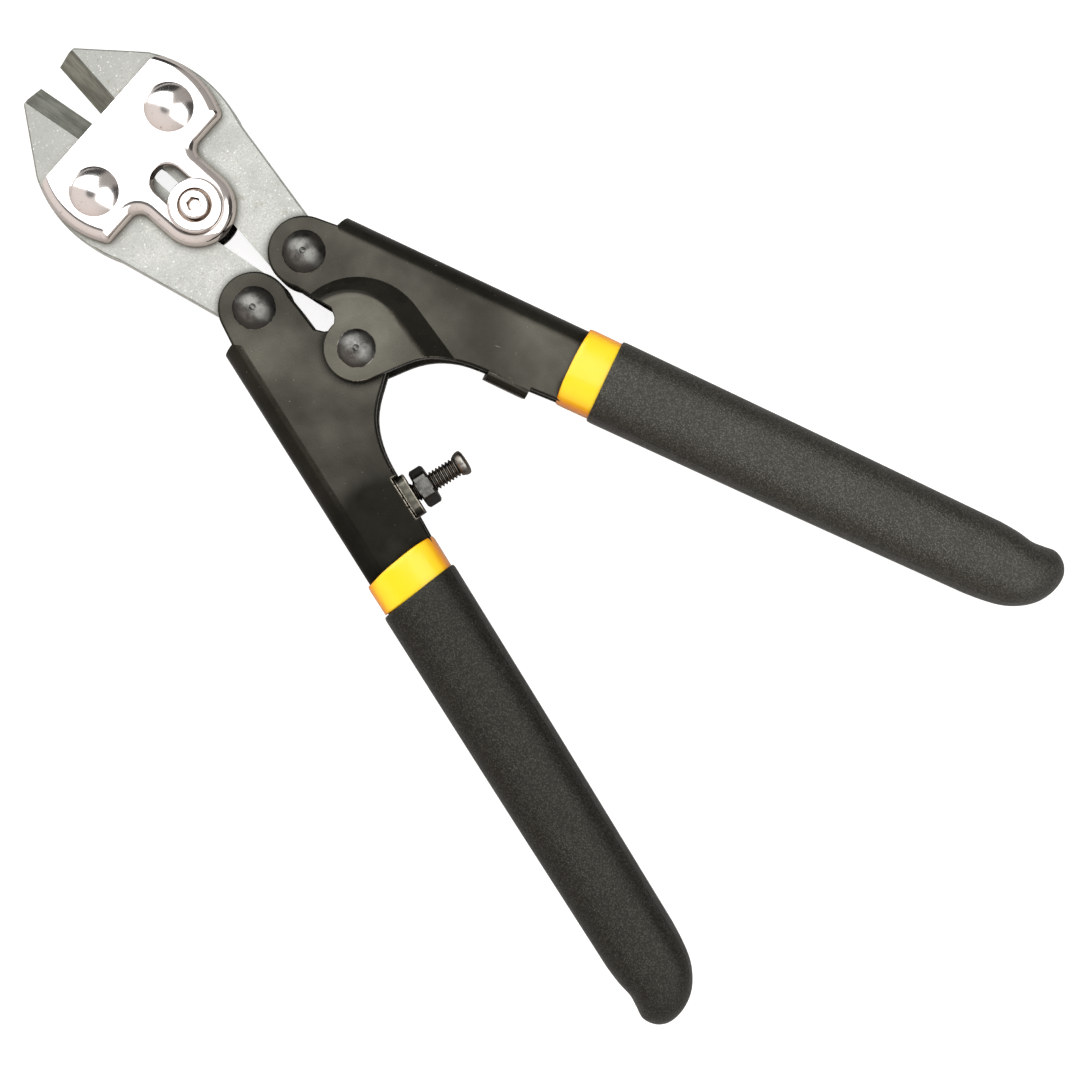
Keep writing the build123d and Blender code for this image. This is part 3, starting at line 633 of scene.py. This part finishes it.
def screw_piece(material):
    """M4 screw with a real helical thread and a worn slotted head."""
    section_points = 40
    per_turn = 14
    rings = []
    rows = int((SCREW_HEAD - SCREW_TAIL) / THREAD_PITCH * per_turn)
    for row in range(rows + 1):
        distance = SCREW_TAIL + (SCREW_HEAD - SCREW_TAIL) * row / rows
        ring = []
        for k in range(section_points):
            angle = tau * k / section_points
            radius = thread_radius(distance / THREAD_PITCH - k / section_points)
            tail = min(1.0, 0.72 + (distance - SCREW_TAIL) * 0.5)
            ring.append(on_screw(distance, radius * tail, angle))
        rings.append(ring)
    for advance, radius in HEAD_PROFILE:
        ring = []
        for k in range(section_points):
            angle = tau * k / section_points
            dent = 0.10 * noise.noise(Vector((cos(angle) * 1.4, sin(angle) * 1.4, advance * 1.2)))
            ring.append(on_screw(SCREW_HEAD + advance, radius - abs(dent), angle))
        rings.append(ring)
    piece = skin("adjusting_screw_threaded", rings, material, sharp_angle=radians(50))
    # the driver slot
    slot_corners = []
    for distance in (SCREW_END - 0.9, SCREW_END + 0.6):
        for side_a, side_b in ((-1, -1), (1, -1), (1, 1), (-1, 1)):
            across, depth = side_a * DRIVER_SLOT_HALF, side_b * 3.2
            radius = sqrt(across**2 + depth**2)
            slot_corners.append(on_screw(distance, radius, atan2(depth, across) + 0.35))
    cutter_mesh = bpy.data.meshes.new("slot_cutter")
    faces = [(3, 2, 1, 0), (4, 5, 6, 7), (0, 1, 5, 4), (1, 2, 6, 5), (2, 3, 7, 6), (3, 0, 4, 7)]
    cutter_mesh.from_pydata(slot_corners, [], faces)
    cutter = bpy.data.objects.new("slot_cutter", cutter_mesh)
    bpy.context.scene.collection.objects.link(cutter)
    cut = piece.modifiers.new("slot", "BOOLEAN")
    cut.operation = "DIFFERENCE"
    cut.object = cutter
    apply_modifiers(piece)
    bpy.data.objects.remove(cutter)
    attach(piece, "adjusting_screw")
    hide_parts("adjusting_screw")
    return piece


def nut_piece(material):
    """Hexagon nut: flats, turned chamfers on both faces and a bore."""
    rings = []
    section_points = 120

    def hexagon(angle):
        within = (angle + pi / 6) % (pi / 3) - pi / 6
        return NUT_HALF_FLATS / cos(within)

    def circle(distance, radius):
        return [on_screw(distance, radius, tau * k / section_points) for k in range(section_points)]

    width = NUT_END - NUT_START
    rings.append(circle(NUT_START + 0.35, NUT_BORE))
    rings.append(circle(NUT_START, NUT_BORE + 0.3))
    for advance in NUT_STEPS:
        from_end = min(advance, width - advance)
        ring = []
        for k in range(section_points):
            angle = tau * k / section_points
            chamfer = 3.42 + from_end * 1.55
            sharp = hexagon(angle + pi / 2)
            rounded = sharp - 0.16 * smooth((sharp - 3.78) / 0.26)
            ring.append(on_screw(NUT_START + advance, min(rounded, chamfer), angle))
        rings.append(ring)
    rings.append(circle(NUT_END, NUT_BORE + 0.3))
    rings.append(circle(NUT_END - 0.35, NUT_BORE))
    mesh = bpy.data.meshes.new("adjusting_nut_hexagon")
    bm = bmesh.new()
    rows = [[bm.verts.new(point) for point in ring] for ring in rings]
    for row, following in zip(rows, rows[1:] + rows[:1]):
        for i in range(section_points):
            j = (i + 1) % section_points
            bm.faces.new((row[i], row[j], following[j], following[i]))
    bmesh.ops.recalc_face_normals(bm, faces=bm.faces)
    for face in bm.faces:
        face.smooth = True
    bm.to_mesh(mesh)
    bm.free()
    mesh.set_sharp_from_angle(angle=radians(24))
    mesh.materials.append(material)
    piece = bpy.data.objects.new("adjusting_nut_hexagon", mesh)
    bpy.context.scene.collection.objects.link(piece)
    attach(piece, "adjusting_nut")
    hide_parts("adjusting_lock_nut")
    return piece


# ---- camera, floor and light ----------------------------------------------------------------------
def add_camera():
    """Straight above the open tool, turned so that the jaws point to the upper left."""
    camera_data = bpy.data.cameras.new("camera")
    camera_data.sensor_width = CAMERA_SENSOR
    camera_data.lens = CAMERA_LENS
    camera_data.clip_start = 0.01
    camera = bpy.data.objects.new("camera", camera_data)
    bpy.context.scene.collection.objects.link(camera)
    turn = Matrix.Rotation(radians(PICTURE_TURN), 4, "Z")
    place = (CAMERA_X, JAW_LINE_Y - CAMERA_BEHIND, MID_Z + CAMERA_HEIGHT)
    camera.matrix_world = Matrix.Translation(place) @ turn
    bpy.context.scene.camera = camera


def add_floor():
    """A white sweep that glows a little, so that shadows on it stay faint."""
    shader = Shader("floor_white")
    shader.set(Base_Color=(0.45, 0.44, 0.43), Roughness=0.8, Specular_IOR_Level=0.1)
    path = shader.tree.nodes.new("ShaderNodeLightPath").outputs["Is Camera Ray"]
    shader.set(Emission_Color=(1.0, 1.0, 1.0), Emission_Strength=shader.span(path, 0.0, 1.0, 0.0, 0.85))
    mesh = bpy.data.meshes.new("floor")
    reach = 3.0
    corners = [(-reach, -reach, 0), (reach, -reach, 0), (reach, reach, 0), (-reach, reach, 0)]
    mesh.from_pydata(corners, [], [(0, 1, 2, 3)])
    mesh.materials.append(shader.material)
    floor = bpy.data.objects.new("floor", mesh)
    floor.location.z = -0.0002
    bpy.context.scene.collection.objects.link(floor)


def aim(azimuth, tilt):
    """A direction of the studio: azimuth from the picture's right, tilt from straight up."""
    turn = radians(azimuth + PICTURE_TURN)
    return Vector((cos(turn) * sin(radians(tilt)), sin(turn) * sin(radians(tilt)), cos(radians(tilt))))


def add_light():
    """A warm grey room with two large soft panels overhead, which the bright plate mirrors."""
    world = bpy.data.worlds.new("studio")
    bpy.context.scene.world = world
    sky = Shader("studio", world)
    direction = sky.tree.nodes.new("ShaderNodeTexCoord").outputs["Generated"]
    rise = sky.maths("MAXIMUM", sky.split(direction, "Z"), 0.03)
    across = sky.maths("DIVIDE", sky.dot(direction, aim(0, 90)), rise)
    up = sky.maths("DIVIDE", sky.dot(direction, aim(90, 90)), rise)

    def panel(*sides):
        """1 inside a flat panel at unit height; each side keeps the points where a*across + b*up > c."""
        inside = sky.span(rise, 0.03, 0.06)
        for a, b, c, soft in sides:
            reach = sky.maths("ADD", sky.maths("MULTIPLY", across, a), sky.maths("MULTIPLY", up, b))
            inside = sky.maths("MULTIPLY", inside, sky.span(reach, c - soft, c + soft))
        return inside

    def blob(azimuth, tilt, radius, soft):
        lean = sky.dot(direction, aim(azimuth, tilt))
        return sky.span(lean, cos(radians(radius + soft)), cos(radians(radius - soft)))

    colour = sky.blend(sky.span(sky.dot(direction, aim(215, 75)), -0.6, 0.9), *ROOM)
    for azimuth, tilt, radius, soft, shade in DARK_PATCHES:
        patch = sky.maths("MULTIPLY", blob(azimuth, tilt, radius, soft), shade)
        colour = sky.blend(patch, colour, (0.02, 0.02, 0.02))
    for sides, radiance in PANELS:
        colour = sky.blend(panel(*sides), colour, (radiance, radiance, radiance))
    camera_ray = sky.tree.nodes.new("ShaderNodeLightPath").outputs["Is Camera Ray"]
    background = sky.tree.nodes["Background"]
    sky.put(background.inputs["Color"], sky.blend(camera_ray, colour, (1.0, 1.0, 1.0)))
    bpy.context.scene.view_settings.view_transform = "Standard"


# ---- the tool ------------------------------------------------------------------------------
def paint_node(node, material):
    """Gives a CAD node its material."""
    mesh_object = frame["nodes"][node]
    if mesh_object.material_slots:
        for slot in mesh_object.material_slots:
            slot.material = material
    else:
        mesh_object.data.materials.append(material)


add_camera()
add_floor()
add_light()

nickel = polished_nickel("polished_nickel", 0.05, 0.9)
dome_nickel = polished_nickel("buffed_nickel_domes", 0.14, 0.8)
lock_nickel = polished_nickel("turned_nickel_lock", 0.09, 1.0)
low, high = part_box("centre_rivet")
centre = (low + high) / 2
# the first spot is real wear on the lug's lower edge; the second is a painted highlight where the lug's
# step meets the inner edge
right_worn_and_highlight = [
    (centre + Vector((-3.9, -4.6, LUG_TOP)) * MM, 2.6),
    (centre + Vector((7.5, -11.4, 4.2)) * MM, 3.2),
]
right_scuffs = [
    (on_handle(1, -13.2, -3.0, WALL_TOP), 1.6, radians(25)),
    (on_handle(1, -9.7, -1.9, WALL_TOP), 1.3, radians(-42)),
    (on_handle(1, -9.2, -7.3, WALL_TOP), 1.3, radians(10)),
]
left_worn = [(on_handle(-1, SCREW_S, -8.4, TAB_TOP), 7.0)]
left_scuffs = [(on_handle(-1, -24.0, 0.5, WALL_TOP), 1.2, radians(60))]
# painted sheen on the left handle: duller near the band, brighter further towards the head and along the
# screw tab
left_painted_sheen = [
    (on_handle(-1, -4.0, 0.0, WALL_TOP), 16.0, -0.5),
    (on_handle(-1, -46.0, 1.0, WALL_TOP), 9.0, 0.22),
]
for k in range(-2, 3):
    left_painted_sheen.append((on_handle(-1, SCREW_S + 1.6 * k, -8.2, TAB_TOP), 1.6, 0.9))
# painted sheen on the right handle: brighter on the centre lug, and strongly lit on the stop tab, where
# the paint's colour turns lighter too
right_painted_sheen = [
    (centre + Vector((1.0, 2.5, LUG_TOP)) * MM, 12.0, 0.55),
    (on_handle(1, -6.0, 1.0, WALL_TOP), 11.0, 0.16),
    (on_handle(1, -26.0, 5.0, WALL_TOP), 13.0, -0.04),
    (on_handle(1, SCREW_S - 2.2, -11.0, -1.5), 5.0, 3.0),
    (on_handle(1, SCREW_S + 2.2, -11.0, -1.5), 5.0, 3.0),
]
left_paint = black_paint("left_black_paint", left_worn, left_scuffs, left_painted_sheen)
right_paint = black_paint("right_black_paint", right_worn_and_highlight, right_scuffs, right_painted_sheen)
rivet_steel = blackened_steel("gunmetal_rivet", 0.15)
screw_steel = blackened_steel("brown_black_screw", 0.34, brown=0.60)
nut_steel = blackened_steel("black_nut", 0.10)
vinyl = yellow_vinyl()
# one rubber in two copies: the left grip painted darker as in shade, the right one painted lighter as if
# lit
rubbers = {
    "left": textured_rubber("left_textured_rubber", 0.74),
    "right": textured_rubber("right_textured_rubber", 1.25),
}

for node in ("front_plate", "rear_plate"):
    paint_node(node, nickel)
for node in ("left_jaw_rivet", "right_jaw_rivet"):
    paint_node(node, dome_nickel)
for node in ("lock_button", "lock_screw", "lock_back_button", "lock_spring_washer"):
    paint_node(node, lock_nickel)
paint_node("left_jaw", jaw_steel("left_jaw_steel", radians(7.0)))
paint_node("right_jaw", jaw_steel("right_jaw_steel", radians(-7.0)))
paint_node("centre_spacer", rivet_steel)
paint_node("left_handle_channel", left_paint)
paint_node("right_handle_channel", right_paint)
for node in ("left_link_rivet", "right_link_rivet", "centre_rivet"):
    paint_node(node, rivet_steel)

for side, word, skew in ((-1, "left", 0.11), (1, "right", 0.0)):
    band_piece(side, word, vinyl, skew)
    grip_piece(side, word, rubbers[word], skew)
screw_piece(screw_steel)
nut_piece(nut_steel)
